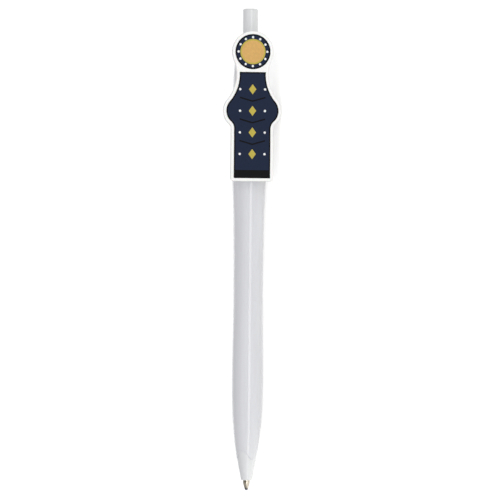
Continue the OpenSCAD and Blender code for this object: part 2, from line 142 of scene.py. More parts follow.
# Tip, ball and spring
BALL_R = 0.35
SOCKET_R = 0.365
SOCKET_RINGS = 10
BALL_CUTS = 15
TIP_SIDES = 72
TIP_RIM_Z = 0.21
TIP_RIM_R = 0.43
TIP_RIM_IN = 0.02
TIP_RIM_UP = 0.03
CONE_Z = 1.95
CONE_R = 0.93
CONE_BREAK_IN = 0.12
CONE_BREAK_DOWN = 0.42
SHANK_R = 1.02
TIP_EASE = 0.6
TIP_LAND = 0.2
TIP_GROOVE_DEPTH = 0.03
TIP_GROOVE_SIDE = 0.04
TIP_GROOVE_FLOOR = 0.06
TIP_COLLAR_Z = 9.6
TIP_COLLAR_R = 1.36
TUBE_Z = 11.0
PLUG_R = 0.98
PLUG_LEN = 4.0
CHANNEL_R = 0.2
SPRING_Z = 20.02
SPRING_LEN = 15.0
SPRING_R = 1.96
SPRING_TURNS = 8
COIL_STEPS = 36
WIRE_R = 0.19
WIRE_ROOM = 0.02

# Points closer than these are in one place, and a normal with this share in a direction faces it
NEAR = 0.01
MERGE = 0.001
WIRE_MERGE = 0.0001
FACING = 0.9

# Edges of the pieces whose solids only get softer edges
SOFT_EDGE = 0.05
TAPE_EDGE = 0.04

# Facets that bend by fewer degrees than this become one
FLAT_BEND = 0.3


# Where the pen lies

def named(rows, name):
    """The row of a list that bears a name."""
    return next(row for row in rows if row["name"] == name)


PEN_UP = Vector(named(frame["joints"], "button_slide")["axis"]).normalized()
PEN_FRONT = Vector(named(frame["record"]["mounts"], "plate_face")["axis"]).normalized()
PEN_SIDE = PEN_UP.cross(PEN_FRONT).normalized()
PEN_BACK = PEN_UP.cross(PEN_SIDE)
PEN_FOOT = Vector(named(frame["joints"], "ball_roll")["pos_m"]) - PEN_UP * BALL_R * MM
PEN_TURN = Matrix((PEN_SIDE, PEN_BACK, PEN_UP)).transposed()
PEN_PLACE = Matrix.Translation(PEN_FOOT) @ PEN_TURN.to_4x4()


def on_axis(height):
    """A point of the pen's axis, in the row's frame."""
    return PEN_FOOT + PEN_UP * height * MM


# Bench tools

def deselect():
    """Leave nothing selected for the next operator to work on."""
    for thing in list(bpy.context.selected_objects):
        thing.select_set(False)


def take(piece):
    """Make a piece the only one that the next operator works on."""
    deselect()
    piece.select_set(True)
    bpy.context.view_layer.objects.active = piece


def new_piece(name):
    """Name the primitive that was just added, and put its place in its mesh."""
    piece = bpy.context.object
    piece.name = name
    piece.data.name = name
    take(piece)
    bpy.ops.object.transform_apply(location=True, rotation=True, scale=True)
    return piece


def open_mesh(piece, select="DESELECT"):
    """Enter edit mode with none or all of a piece's points selected."""
    take(piece)
    bpy.ops.object.mode_set(mode="EDIT")
    bpy.ops.mesh.select_mode(type="VERT")
    bpy.ops.mesh.select_all(action=select)


def close_mesh():
    """Leave edit mode."""
    bpy.ops.object.mode_set(mode="OBJECT")


def mend_mesh(piece, distance=MERGE):
    """Merge what lies in one place and turn all faces outwards."""
    open_mesh(piece, "SELECT")
    bpy.ops.mesh.remove_doubles(threshold=distance * MM)
    bpy.ops.mesh.normals_make_consistent(inside=False)
    close_mesh()


def pick_edges(piece, wanted):
    """Open a piece with only the edges selected whose two ends pass a test."""
    open_mesh(piece)
    bpy.ops.mesh.select_mode(type="EDGE")
    close_mesh()
    points = piece.data.vertices
    for edge in piece.data.edges:
        ends = [points[i].co / MM for i in edge.vertices]
        edge.select = wanted(*ends)
    bpy.ops.object.mode_set(mode="EDIT")


def pick_faces(piece, wanted):
    """Open a piece with only the faces selected whose middle and normal pass a test."""
    open_mesh(piece)
    bpy.ops.mesh.select_mode(type="FACE")
    close_mesh()
    for face in piece.data.polygons:
        face.select = wanted(face.center / MM, face.normal)
    bpy.ops.object.mode_set(mode="EDIT")


def apply_modifier(piece, kind, **settings):
    """Put a modifier on a piece and keep its result as the mesh."""
    take(piece)
    modifier = piece.modifiers.new(kind.lower(), kind)
    for key, value in settings.items():
        setattr(modifier, key, value)
    bpy.ops.object.modifier_apply(modifier=modifier.name)


def soften_edges(piece, width, segments=3, angle=35):
    """Round the edges that bend by more than an angle."""
    apply_modifier(
        piece, "BEVEL", width=width * MM, segments=segments,
        limit_method="ANGLE", angle_limit=math.radians(angle),
    )


def join_solids(piece, tool, operation):
    """Add a tool's solid to a piece or cut it away, and throw the tool away."""
    apply_modifier(piece, "BOOLEAN", object=tool, operation=operation, solver="EXACT")
    bpy.data.objects.remove(tool, do_unlink=True)


def smooth_faces(piece, angle=32):
    """Shade a piece smoothly, with its wide flat faces kept flat."""
    take(piece)
    bpy.ops.object.shade_smooth_by_angle(angle=math.radians(angle))
    apply_modifier(piece, "WEIGHTED_NORMAL", keep_sharp=True, weight=60)


def turned(name, rings, closed=True, sides=96):
    """A turned body drawn out ring by ring, each ring a radius and a height.

    A closed body's last ring meets its first, and another has a flat face at both ends.
    """
    deselect()
    radius, height = rings[0]
    bpy.ops.mesh.primitive_circle_add(
        vertices=sides, radius=radius * MM, location=(0, 0, height * MM), fill_type="NOTHING"
    )
    piece = new_piece(name)
    open_mesh(piece, "SELECT")
    if not closed:
        bpy.ops.mesh.edge_face_add()
        bpy.ops.mesh.select_all(action="SELECT")
    for next_radius, next_height in rings[1:] + rings[:1] * closed:
        rise = (next_height - height) * MM
        grow = next_radius / radius
        bpy.ops.mesh.extrude_region_move(TRANSFORM_OT_translate={"value": (0, 0, rise)})
        bpy.ops.transform.resize(value=(grow, grow, 1), center_override=(0, 0, 0))
        radius = next_radius
        height = next_height
    close_mesh()
    mend_mesh(piece)
    return piece


def quarter_round(edge, steps=4):
    """Insets and rises of a rounded corner, from the flat side to the upright side."""
    for k in range(steps + 1):
        angle = math.pi / 2 * k / steps
        yield edge * (1 - math.sin(angle)), edge * (1 - math.cos(angle))


def softened_copy(node, edge):
    """A solid with its facets merged, its edges softened and its round faces smooth."""
    source = frame["nodes"][node]
    piece = source.copy()
    piece.data = source.data.copy()
    bpy.context.scene.collection.objects.link(piece)
    piece.parent = None
    piece.matrix_world = Matrix.Identity(4)
    piece.name = node + "_soft"
    piece.data.name = node + "_soft"
    open_mesh(piece, "SELECT")
    bpy.ops.mesh.remove_doubles(threshold=MERGE * MM)
    bpy.ops.mesh.dissolve_limited(angle_limit=math.radians(FLAT_BEND))
    close_mesh()
    soften_edges(piece, edge, segments=2)
    smooth_faces(piece)
    return piece


def lay_down(piece):
    """Turn an upright piece over to where the pen lies, with its place in its mesh."""
    piece.matrix_world = PEN_PLACE
    take(piece)
    bpy.ops.object.transform_apply(location=True, rotation=True, scale=True)


def dress(piece, node, body, material):
    """Put a finished piece in its node's place, on its body and in its material."""
    piece.data.materials.clear()
    piece.data.materials.append(material)
    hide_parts(node)
    if body:
        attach(piece, body)


# Barrel and nose cone, which meet in a wavy seam

def run_radius(stations, height):
    """Radius of the smooth curve through a few stations, each a height and a radius."""
    last = len(stations) - 1
    i = 0
    while i < last - 1 and height > stations[i + 1][0]:
        i += 1

    def slope(k):
        if k in (0, last):
            return 0
        return (stations[k + 1][1] - stations[k - 1][1]) / (stations[k + 1][0] - stations[k - 1][0])

    run = stations[i + 1][0] - stations[i][0]
    t = (height - stations[i][0]) / run
    return (
        (2 * t**3 - 3 * t**2 + 1) * stations[i][1]
        + (t**3 - 2 * t**2 + t) * run * slope(i)
        + (3 * t**2 - 2 * t**3) * stations[i + 1][1]
        + (t**3 - t**2) * run * slope(i + 1)
    )


def nose_radius(height):
    """Radius of the tapering skin from the grip down to the tip's hole."""
    share = (GRIP_Z - height) / (GRIP_Z - NOSE_Z)
    return GRIP_R - (GRIP_R - NOSE_R) * share**NOSE_FULLNESS


BARREL_STATIONS = [
    (GRIP_Z, GRIP_R), (WAIST_Z, WAIST_R), (FLARE_Z, FLARE_R), (SWELL_Z, SWELL_R), (COLLAR_Z, COLLAR_R)
]
CAP_STATIONS = [
    (COLLAR_Z, COLLAR_R),
    (CAP_SHOULDER_Z, CAP_SHOULDER_R),
    (CAP_TOP_Z - CAP_EDGE, CAP_TOP_R + CAP_EDGE / 2),
    (CAP_TOP_Z, CAP_TOP_R),
]


def steps_between(low, high, count):
    """Evenly spaced heights after the low one, up to the high one."""
    return [low + (high - low) * (k + 1) / count for k in range(count)]


def follow_wave(piece, fade):
    """Lift the rings near the seam into its waves, less and less away from it."""
    for point in piece.data.vertices:
        x, y, z = point.co / MM
        share = 1 - abs(z - SEAM_Z) / fade
        radius = math.hypot(x, y)
        if share <= 0 or radius < WAVE_INNER_R:
            continue
        ease = share**2 * (3 - 2 * share)
        height = z + ease * SEAM_WAVE / 2 * math.cos(SEAM_WAVES * math.atan2(y, x))
        inset = nose_radius(z) - radius
        grow = 1 if inset > WAVE_SKIN else (nose_radius(height) - inset) / radius
        point.co = Vector((x * grow, y * grow, height)) * MM


def make_barrel():
    """The barrel: up its skin from the seam, and back down its bores."""
    rings = [(nose_radius(SEAM_Z + up) - inset, SEAM_Z + up) for inset, up in quarter_round(SEAM_EDGE)]
    rings += [
        (nose_radius(z), z)
        for z in steps_between(SEAM_Z + SEAM_EDGE, SEAM_Z + BARREL_FADE, WAVE_RINGS)
        + steps_between(SEAM_Z + BARREL_FADE, GRIP_Z, GRIP_RINGS)
    ]
    rim_z = COLLAR_Z - RIM_EDGE
    rings += [
        (run_radius(BARREL_STATIONS, z), z)
        for z in steps_between(GRIP_Z, rim_z - BARREL_LAST_RUN, BARREL_RINGS) + [rim_z]
    ]
    rim = [(COLLAR_R - inset, COLLAR_Z - down) for inset, down in quarter_round(RIM_EDGE)]
    rings += rim[::-1][1:]
    spigot_end_z = COLLAR_Z - CAP_SPIGOT_LEN - FIT_ROOM
    rings += [
        (CAP_SPIGOT_R + FIT_ROOM, COLLAR_Z),
        (CAP_SPIGOT_R + FIT_ROOM, spigot_end_z),
        (SLEEVE_HOLE_R, spigot_end_z),
        (SLEEVE_HOLE_R, SLEEVE_Z),
        (BARREL_BORE_R, SLEEVE_Z),
        (BARREL_BORE_R, SPIGOT_TOP_Z),
        (SPIGOT_R + FIT_ROOM, SPIGOT_TOP_Z),
        (SPIGOT_R + FIT_ROOM, SEAM_Z),
    ]
    piece = turned("barrel_turned", rings, sides=BARREL_SIDES)
    follow_wave(piece, BARREL_FADE)
    return piece


def make_nose():
    """The nose: down its spigot and its skin to the tip's hole, and back up its bore."""
    funnel_z = NOSE_Z + EXIT_LEN
    rings = [(SPIGOT_R, SPIGOT_TOP_Z), (SPIGOT_R, SEAM_Z)]
    rings += [
        (nose_radius(SEAM_Z - down) - SEAM_STEP - inset, SEAM_Z - down)
        for inset, down in quarter_round(SEAM_EDGE)
    ]
    rings += [
        (nose_radius(z) - SEAM_STEP, z)
        for z in steps_between(SEAM_Z - SEAM_EDGE, SEAM_Z - NOSE_FADE, WAVE_RINGS)
        + steps_between(SEAM_Z - NOSE_FADE, NOSE_Z + NOSE_LIP, NOSE_RINGS)
    ]
    lip = [
        (nose_radius(NOSE_Z + up) - SEAM_STEP - inset, NOSE_Z + up)
        for inset, up in quarter_round(NOSE_LIP)
    ]
    rings += lip[::-1][1:]
    rings += [
        (EXIT_R + FIT_ROOM, NOSE_Z),
        (EXIT_R, NOSE_Z + FIT_ROOM),
        (EXIT_R, funnel_z),
        (NOSE_BORE_R, funnel_z + FUNNEL_LEN),
        (NOSE_BORE_R, SPIGOT_TOP_Z),
    ]
    piece = turned("nose_turned", rings, sides=BARREL_SIDES)
    follow_wave(piece, NOSE_FADE)
    return piece


# Cap with its clip arm

def make_arm():
    """The clip's arm with the boss that joins it to the cap, drawn out of one bar."""
    length = BOSS_TOP_Z - ARM_LOW_Z
    deselect()
    bpy.ops.mesh.primitive_cube_add(
        size=1,
        location=(0, -(ARM_IN + ARM_OUT) / 2 * MM, (ARM_LOW_Z + length / 2) * MM),
        scale=(ARM_W * MM, (ARM_OUT - ARM_IN) * MM, length * MM),
    )
    arm = new_piece("arm")
    boss_z = BOSS_TOP_Z - BOSS_H
    open_mesh(arm, "SELECT")
    bpy.ops.mesh.bisect(plane_co=(0, 0, boss_z * MM), plane_no=(0, 0, 1))
    pick_faces(arm, lambda middle, normal: normal.y > FACING and middle.z > boss_z)
    bpy.ops.mesh.extrude_region_move(
        TRANSFORM_OT_translate={"value": (0, (ARM_IN - BOSS_ROOT_R) * MM, 0)}
    )
    close_mesh()
    mend_mesh(arm)
    soften_edges(arm, ARM_EDGE, segments=4)
    return arm


def make_bump():
    """The rounded bar under the arm that presses on the barrel."""
    deselect()
    bpy.ops.mesh.primitive_cylinder_add(
        vertices=BUMP_SIDES, radius=BUMP_R * MM, depth=(ARM_W - ARM_EDGE) * MM,
        location=(0, -(BUMP_REACH + BUMP_R) * MM, BUMP_Z * MM), rotation=(0, math.pi / 2, 0),
    )
    bump = new_piece("bump")
    open_mesh(bump, "SELECT")
    bpy.ops.mesh.bisect(
        plane_co=(0, -(ARM_IN + ARM_OUT) / 2 * MM, 0), plane_no=(0, 1, 0), use_fill=True, clear_inner=True
    )
    close_mesh()
    mend_mesh(bump)
    soften_edges(bump, BUMP_EDGE, angle=60)
    return bump


def make_cap():
    """The cap: turned, joined with the clip's arm and bump, and bored out."""
    spigot_z = COLLAR_Z - CAP_SPIGOT_LEN
    rings = [(CAP_SPIGOT_R - inset, spigot_z + up) for inset, up in quarter_round(RIM_EDGE)]
    rings += [(CAP_SPIGOT_R, COLLAR_Z)]
    rings += [(COLLAR_R - inset, COLLAR_Z + up) for inset, up in quarter_round(RIM_EDGE)]
    rings += [
        (run_radius(CAP_STATIONS, z), z)
        for z in steps_between(COLLAR_Z + RIM_EDGE, CAP_TOP_Z - CAP_EDGE, CAP_RINGS)
        + steps_between(CAP_TOP_Z - CAP_EDGE, CAP_TOP_Z, CAP_EDGE_RINGS)
    ]
    cap = turned("cap_with_clip", rings, closed=False)
    join_solids(cap, make_arm(), "UNION")
    join_solids(cap, make_bump(), "UNION")
    sleeve_end_z = SLEEVE_TOP_Z + FIT_ROOM
    bores = [
        (SLEEVE_HOLE_R, spigot_z - CUTTER_OVER),
        (SLEEVE_HOLE_R, sleeve_end_z),
        (STEM_BORE_R, sleeve_end_z),
        (STEM_BORE_R, CAP_TOP_Z - RIM_EDGE),
        (STEM_BORE_R + RIM_EDGE, CAP_TOP_Z),
        (STEM_BORE_R + RIM_EDGE, CAP_TOP_Z + CUTTER_OVER),
    ]
    join_solids(cap, turned("bores", bores, closed=False), "DIFFERENCE")
    return cap


# Plate with its peg outline

def outline_arc(x, z, radius, start, end):
    """Points along an arc of the outline, from one angle to another."""
    count = max(2, round(abs(end - start) / math.radians(OUTLINE_STEP)))
    for k in range(count + 1):
        angle = start + (end - start) * k / count
        yield x + radius * math.cos(angle), z + radius * math.sin(angle)


def plate_outline():
    """Points round the plate: round head, neck, bead and stem."""
    bead_x = BEAD_W / 2 - BEAD_R
    rise = HEAD_Z - BEAD_Z
    run = math.hypot(bead_x, rise)
    head_reach = HEAD_R + NECK_HOLLOW_R
    share = (head_reach**2 - (BEAD_R + NECK_HOLLOW_R) ** 2 + run**2) / (2 * run)
    off = math.sqrt(head_reach**2 - share**2)
    neck_x = (bead_x * share + rise * off) / run
    neck_z = HEAD_Z + (bead_x * off - rise * share) / run
    stem_x = STEM_W / 2 + STEM_HOLLOW_R
    stem_z = BEAD_Z - math.sqrt((BEAD_R + STEM_HOLLOW_R) ** 2 - (stem_x - bead_x) ** 2)
    head_leave = math.atan2(neck_z - HEAD_Z, neck_x)
    bead_meet = math.atan2(neck_z - BEAD_Z, neck_x - bead_x)
    bead_leave = math.atan2(stem_z - BEAD_Z, stem_x - bead_x)
    right = [
        *outline_arc(0, HEAD_Z, HEAD_R, math.pi / 2, head_leave),
        *outline_arc(neck_x, neck_z, NECK_HOLLOW_R, math.pi + head_leave, math.pi + bead_meet),
        *outline_arc(bead_x, BEAD_Z, BEAD_R, bead_meet, bead_leave),
        *outline_arc(stem_x, stem_z, STEM_HOLLOW_R, math.pi + bead_leave, math.pi),
        *outline_arc(STEM_W / 2 - FOOT_R, PLATE_Z + FOOT_R, FOOT_R, 0, -math.pi / 2),
    ]
    return right + [(-x, z) for x, z in reversed(right[1:])]


def make_plate():
    """The plate: its outline filled, drawn back to its thickness and given soft edges."""
    outline = plate_outline()
    front = -(PLATE_IN + PLATE_T)
    deselect()
    bpy.ops.mesh.primitive_circle_add(vertices=len(outline), radius=HEAD_R * MM, fill_type="NGON")
    plate = new_piece("peg_plate")
    for point, (x, z) in zip(plate.data.vertices, outline):
        point.co = Vector((x, front, z)) * MM
    mend_mesh(plate)
    open_mesh(plate, "SELECT")
    bpy.ops.mesh.extrude_region_move(TRANSFORM_OT_translate={"value": (0, PLATE_T * MM, 0)})
    close_mesh()
    mend_mesh(plate)
    for y, edge in ((front, PLATE_FRONT_EDGE), (-PLATE_IN, PLATE_BACK_EDGE)):
        pick_edges(plate, lambda a, b: abs(a.y - y) < NEAR and abs(b.y - y) < NEAR)
        bpy.ops.mesh.bevel(
            offset=edge * MM, segments=PLATE_EDGE_STEPS, affect="EDGES", clamp_overlap=True
        )
        close_mesh()
    return plate


# Tip, ball and spring

def make_tip():
    """The tip: up its outside from the rim to the plug, and back down to the ball's socket."""
    socket_z = BALL_R + math.sqrt(SOCKET_R**2 - CHANNEL_R**2)
    rim_low = BALL_R - TIP_RIM_Z
    shank_z = CONE_Z + TIP_EASE
    groove_r = SHANK_R - TIP_GROOVE_DEPTH
    groove_z = shank_z + TIP_LAND
    floor_z = groove_z + TIP_GROOVE_SIDE
    groove_top_z = floor_z + TIP_GROOVE_FLOOR + TIP_GROOVE_SIDE
    rings = [
        (TIP_RIM_R - TIP_RIM_IN, TIP_RIM_Z),
        (TIP_RIM_R, TIP_RIM_Z + TIP_RIM_UP),
        (CONE_R - CONE_BREAK_IN, CONE_Z - CONE_BREAK_DOWN),
        (CONE_R, CONE_Z),
        ((CONE_R + SHANK_R * 2) / 3, CONE_Z + TIP_EASE / 2),
        (SHANK_R, shank_z),
        (SHANK_R, groove_z),
        (groove_r, floor_z),
        (groove_r, floor_z + TIP_GROOVE_FLOOR),
        (SHANK_R, groove_top_z),
        (SHANK_R, TIP_COLLAR_Z),
        (TIP_COLLAR_R, TIP_COLLAR_Z + TIP_COLLAR_R - SHANK_R),
        (TIP_COLLAR_R, TUBE_Z),
        (PLUG_R, TUBE_Z),
        (PLUG_R, TUBE_Z + PLUG_LEN),
        (CHANNEL_R, TUBE_Z + PLUG_LEN),
        (CHANNEL_R, socket_z),
    ]
    wide = math.asin(CHANNEL_R / SOCKET_R)
    low = math.pi / 2 + math.asin(rim_low / SOCKET_R)
    rings += [
        (SOCKET_R * math.sin(a), BALL_R + SOCKET_R * math.cos(a))
        for a in steps_between(wide, low, SOCKET_RINGS)
    ]
    return turned("tip_turned", rings, sides=TIP_SIDES)


def make_ball():
    """A ball ground from a cube whose points are all drawn out to one radius."""
    deselect()
    bpy.ops.mesh.primitive_cube_add(size=BALL_R * MM)
    ball = new_piece("ball_ground")
    open_mesh(ball, "SELECT")
    bpy.ops.mesh.subdivide(number_cuts=BALL_CUTS)
    close_mesh()
    for point in ball.data.vertices:
        point.co = point.co.normalized() * BALL_R * MM + Vector((0, 0, BALL_R * MM))
    return ball


def make_spring():
    """Spring wire with one closed turn at each end, drawn along its coils."""
    closed_lead = 2 * WIRE_R + WIRE_ROOM
    open_lead = (SPRING_LEN - 2 * WIRE_R - 2 * closed_lead) / SPRING_TURNS
    wire = bpy.data.curves.new("spring_wire", "CURVE")
    wire.dimensions = "3D"
    wire.bevel_depth = WIRE_R * MM
    wire.bevel_resolution = 3
    wire.use_fill_caps = True
    coil = wire.splines.new("POLY")
    count = (SPRING_TURNS + 2) * COIL_STEPS
    coil.points.add(count)
    for i in range(count + 1):
        turn = i / COIL_STEPS
        rise = min(turn, 1) * closed_lead
        rise += min(max(turn - 1, 0), SPRING_TURNS) * open_lead
        rise += max(turn - 1 - SPRING_TURNS, 0) * closed_lead
        angle = turn * 2 * math.pi
        place = (SPRING_R * math.cos(angle), SPRING_R * math.sin(angle), SPRING_Z + WIRE_R + rise)
        coil.points[i].co = (*(c * MM for c in place), 1)
    spring = bpy.data.objects.new("spring_wire", wire)
    bpy.context.scene.collection.objects.link(spring)
    take(spring)
    bpy.ops.object.convert(target="MESH")
    spring = bpy.context.object
    mend_mesh(spring, distance=WIRE_MERGE)
    return spring


# Materials

def new_material(name):
    """A new material, with its tree of nodes and its shader."""
    material = bpy.data.materials.new(name)
    material.use_nodes = True
    tree = material.node_tree
    return material, tree, tree.nodes["Principled BSDF"]


def part(tree, kind, inputs=(), **settings):
    """Add one node with its settings, and link or set its inputs by name or number."""
    node = tree.nodes.new(kind)
    for key, value in settings.items():
        setattr(node, key, value)
    for key, value in dict(inputs).items():
        if isinstance(value, bpy.types.NodeSocket):
            tree.links.new(value, node.inputs[key])
        else:
            node.inputs[key].default_value = value
    return node


def pen_millimetres(tree, stretch=(1, 1, 1)):
    """Places on the upright pen, in millimetres, as a vector for patterns."""
    to_pen = PEN_TURN.inverted()
    place = part(
        tree, "ShaderNodeMapping",
        {
            "Vector": part(tree, "ShaderNodeTexCoord").outputs["Object"],
            "Location": -(to_pen @ PEN_FOOT) / MM,
            "Rotation": to_pen.to_euler(),
            "Scale": (1 / MM, 1 / MM, 1 / MM),
        },
    )
    if stretch == (1, 1, 1):
        return place.outputs["Vector"]
    return part(
        tree, "ShaderNodeMapping", {"Vector": place.outputs["Vector"], "Scale": stretch}
    ).outputs["Vector"]


def grain(tree, place, scale, detail=2.0, roughness=0.5):
    """Soft noise with that many grains to one unit of its place."""
    return part(
        tree, "ShaderNodeTexNoise",
        {"Vector": place, "Scale": scale, "Detail": detail, "Roughness": roughness},
    ).outputs["Fac"]


def spread(tree, value, low, high, start=0.3, stop=0.7):
    """Map a pattern's middle range onto the values from low to high."""
    return part(
        tree, "ShaderNodeMapRange",
        {"Value": value, "From Min": start, "From Max": stop, "To Min": low, "To Max": high},
    ).outputs["Result"]


def blend_colours(tree, share, first, second):
    """Mix two colours, each given as a value or as another node's output."""
    mix = part(tree, "ShaderNodeMix", data_type="RGBA")
    for key, value in (("Factor", share), ("A", first), ("B", second)):
        socket = next(s for s in mix.inputs if s.name == key and s.type in ("RGBA", "VALUE") and s.enabled)
        if isinstance(value, bpy.types.NodeSocket):
            tree.links.new(value, socket)
        else:
            socket.default_value = (*value, 1)
    return next(s for s in mix.outputs if s.enabled)


def relief(tree, shader, *layers):
    """Raise the surface by patterns, each given with its height in millimetres."""
    normal = None
    for pattern, height in layers:
        bump = part(tree, "ShaderNodeBump", {"Height": pattern, "Distance": height * MM, "Strength": 1.0})
        if normal:
            tree.links.new(normal, bump.inputs["Normal"])
        normal = bump.outputs["Normal"]
    tree.links.new(normal, shader.inputs["Normal"])


def tone(colour, factor):
    """A colour made darker or lighter by a factor."""
    return tuple(min(1, c * factor) for c in colour)


def mottled(tree, pattern, colour, dark, light):
    """A colour that a pattern varies between a darker and a lighter tone of itself."""
    return blend_colours(tree, spread(tree, pattern, 0, 1), tone(colour, dark), tone(colour, light))


def moulded_plastic(name, colour, low=0.07, high=0.12, peel=0.0004, sink=0.002, soft=0.06):
    """Glossy moulded plastic: faint flow clouds, an uneven polish, orange peel and slow sinks."""
    material, tree, shader = new_material(name)
    place = pen_millimetres(tree)
    along = pen_millimetres(tree, stretch=(1, 1, 0.12))
    clouds = grain(tree, along, scale=0.35, detail=3)
    polish = grain(tree, place, scale=0.9, detail=4)
    orange_peel = grain(tree, place, scale=0.8)
    slow_sinks = grain(tree, along, scale=0.16, detail=1)
    tree.links.new(mottled(tree, clouds, colour, dark=0.965, light=1.025), shader.inputs["Base Color"])
    tree.links.new(spread(tree, polish, low, high), shader.inputs["Roughness"])
    shader.inputs["IOR"].default_value = 1.54
    shader.inputs["Subsurface Weight"].default_value = soft
    shader.inputs["Subsurface Radius"].default_value = (1.0, 0.95, 0.9)
    shader.inputs["Subsurface Scale"].default_value = 0.6 * MM
    relief(tree, shader, (orange_peel, peel), (slow_sinks, sink))
    return material


def plain_plastic(name, colour):
    """Matt moulded plastic of a working part: dull skin, fine speckle and faint flow lines."""
    material, tree, shader = new_material(name)
    place = pen_millimetres(tree)
    lines = grain(tree, pen_millimetres(tree, stretch=(1, 1, 0.1)), scale=2.2, detail=3)
    speckle = spread(tree, grain(tree, place, scale=7.0), 0, 1, start=0.42, stop=0.62)
    skin = grain(tree, place, scale=5.0, detail=3)
    tree.links.new(
        blend_colours(tree, speckle, tone(colour, 0.95), tone(colour, 1.03)), shader.inputs["Base Color"]
    )
    tree.links.new(spread(tree, lines, low=0.36, high=0.52), shader.inputs["Roughness"])
    relief(tree, shader, (skin, 0.002), (lines, 0.003))
    return material


def sheet_plastic(name, colour):
    """White plate sheet: satin polished face, and a duller die-cut edge with fine cutting lines, coloured darker
    on the edge than on the face.
    """
    material, tree, shader = new_material(name)
    place = pen_millimetres(tree)
    facing = part(
        tree, "ShaderNodeVectorMath",
        {0: part(tree, "ShaderNodeTexCoord").outputs["Normal"], 1: PEN_BACK}, operation="DOT_PRODUCT",
    ).outputs["Value"]
    flat = part(tree, "ShaderNodeMath", {0: facing}, operation="ABSOLUTE").outputs["Value"]
    face = spread(tree, flat, 0, 1, start=0.45, stop=0.9)
    # The edges, where the normal turns away from front and back, get 0.82 of the sheet's colour
    tree.links.new(blend_colours(tree, face, tone(colour, 0.82), colour), shader.inputs["Base Color"])
    cut_lines = grain(tree, pen_millimetres(tree, stretch=(1, 0.15, 1)), scale=5.0, detail=3)
    pebbles = grain(tree, place, scale=1.6)
    polish = spread(tree, grain(tree, place, scale=1.1, detail=3), low=0.16, high=0.27)
    edge = spread(tree, cut_lines, low=0.4, high=0.6)
    rough = part(tree, "ShaderNodeMix", data_type="FLOAT")
    tree.links.new(face, rough.inputs["Factor"])
    tree.links.new(edge, rough.inputs["A"])
    tree.links.new(polish, rough.inputs["B"])
    tree.links.new(rough.outputs["Result"], shader.inputs["Roughness"])
    shader.inputs["IOR"].default_value = 1.5
    shader.inputs["Subsurface Weight"].default_value = 0.05
    shader.inputs["Subsurface Scale"].default_value = 0.5 * MM
    relief(tree, shader, (pebbles, 0.0012), (cut_lines, 0.0015))
    return material


def raised_ink(name, colour, light):
    """Printed ink with a levelled satin skin, faint mottling and pinpoint specks."""
    material, tree, shader = new_material(name)
    place = pen_millimetres(tree)
    mottle = grain(tree, place, scale=1.4, detail=5, roughness=0.6)
    ripples = grain(tree, place, scale=3.2)
    specks = spread(tree, grain(tree, place, scale=9.0, detail=1), low=0, high=0.4, start=0.6, stop=0.78)
    field = mottled(tree, mottle, colour, dark=0.93, light=1.06)
    tree.links.new(blend_colours(tree, specks, field, light), shader.inputs["Base Color"])
    tree.links.new(spread(tree, mottle, low=0.3, high=0.42), shader.inputs["Roughness"])
    shader.inputs["Specular IOR Level"].default_value = 0.06
    relief(tree, shader, (ripples, 0.0008), (mottle, 0.0015))
    return material


def turned_metal(name, colour, shade, ink):
    """Bright turned brass with a dark reflection painted along it in streaks, fine tool rings and ink dried near
    the ball.
    """
    material, tree, shader = new_material(name)
    place = pen_millimetres(tree)
    tarnish = grain(tree, place, scale=1.8, detail=4, roughness=0.6)
    # Painted reflection: long dark streaks in the shade colour stand in for dark surroundings mirrored in the tip
    along = pen_millimetres(tree, stretch=(-1, 1, 0.12))
    painted_reflection_streaks = grain(tree, along, scale=1.3, detail=3, roughness=0.55)
    metal = blend_colours(tree, spread(tree, painted_reflection_streaks, 0, 1, start=0.5, stop=0.62), colour, shade)
    height = part(tree, "ShaderNodeSeparateXYZ", {0: place}).outputs["Z"]
    ragged = grain(tree, place, scale=3.0, detail=3)
    reach = part(tree, "ShaderNodeMath", {0: height, 1: ragged}, operation="SUBTRACT")
    stain = spread(tree, reach.outputs["Value"], 1, 0, start=0, stop=0.35)
    scratches = grain(tree, place, scale=12.0)
    tree.links.new(blend_colours(tree, stain, metal, ink), shader.inputs["Base Color"])
    tree.links.new(spread(tree, stain, 1, 0.2, start=0, stop=1), shader.inputs["Metallic"])
    tool_marks = part(
        tree, "ShaderNodeTexWave",
        {"Vector": place, "Scale": 4.1, "Distortion": 0.6, "Detail": 2.0, "Detail Scale": 2.0},
        bands_direction="Z",
    ).outputs["Fac"]
    tree.links.new(spread(tree, tarnish, low=0.14, high=0.28), shader.inputs["Roughness"])
    relief(tree, shader, (tool_marks, 0.0006), (scratches, 0.0003))
    return material


def drawn_wire(name, colour):
    """Spring steel with long drawing marks and a thin film of oil."""
    material, tree, shader = new_material(name)
    place = pen_millimetres(tree)
    marks = grain(tree, place, scale=9.0, detail=4, roughness=0.65)
    polish = grain(tree, place, scale=3.0)
    tree.links.new(mottled(tree, marks, colour, dark=0.82, light=1.06), shader.inputs["Base Color"])
    shader.inputs["Metallic"].default_value = 1.0
    shader.inputs["Coat Weight"].default_value = 0.2
    shader.inputs["Coat Roughness"].default_value = 0.2
    tree.links.new(spread(tree, polish, low=0.2, high=0.38), shader.inputs["Roughness"])
    relief(tree, shader, (marks, 0.001))
    return material


def clear_plastic(name, colour):
    """Clear-white extruded tube with faint lines along it."""
    material, tree, shader = new_material(name)
    lines = grain(tree, pen_millimetres(tree, stretch=(1, 1, 0.03)), scale=3.5, detail=3)
    cloud = grain(tree, pen_millimetres(tree), scale=0.4)
    tree.links.new(mottled(tree, cloud, colour, dark=0.94, light=1.05), shader.inputs["Base Color"])
    shader.inputs["Transmission Weight"].default_value = 0.85
    shader.inputs["IOR"].default_value = 1.49
    tree.links.new(spread(tree, lines, low=0.06, high=0.16), shader.inputs["Roughness"])
    relief(tree, shader, (lines, 0.0006))
    return material


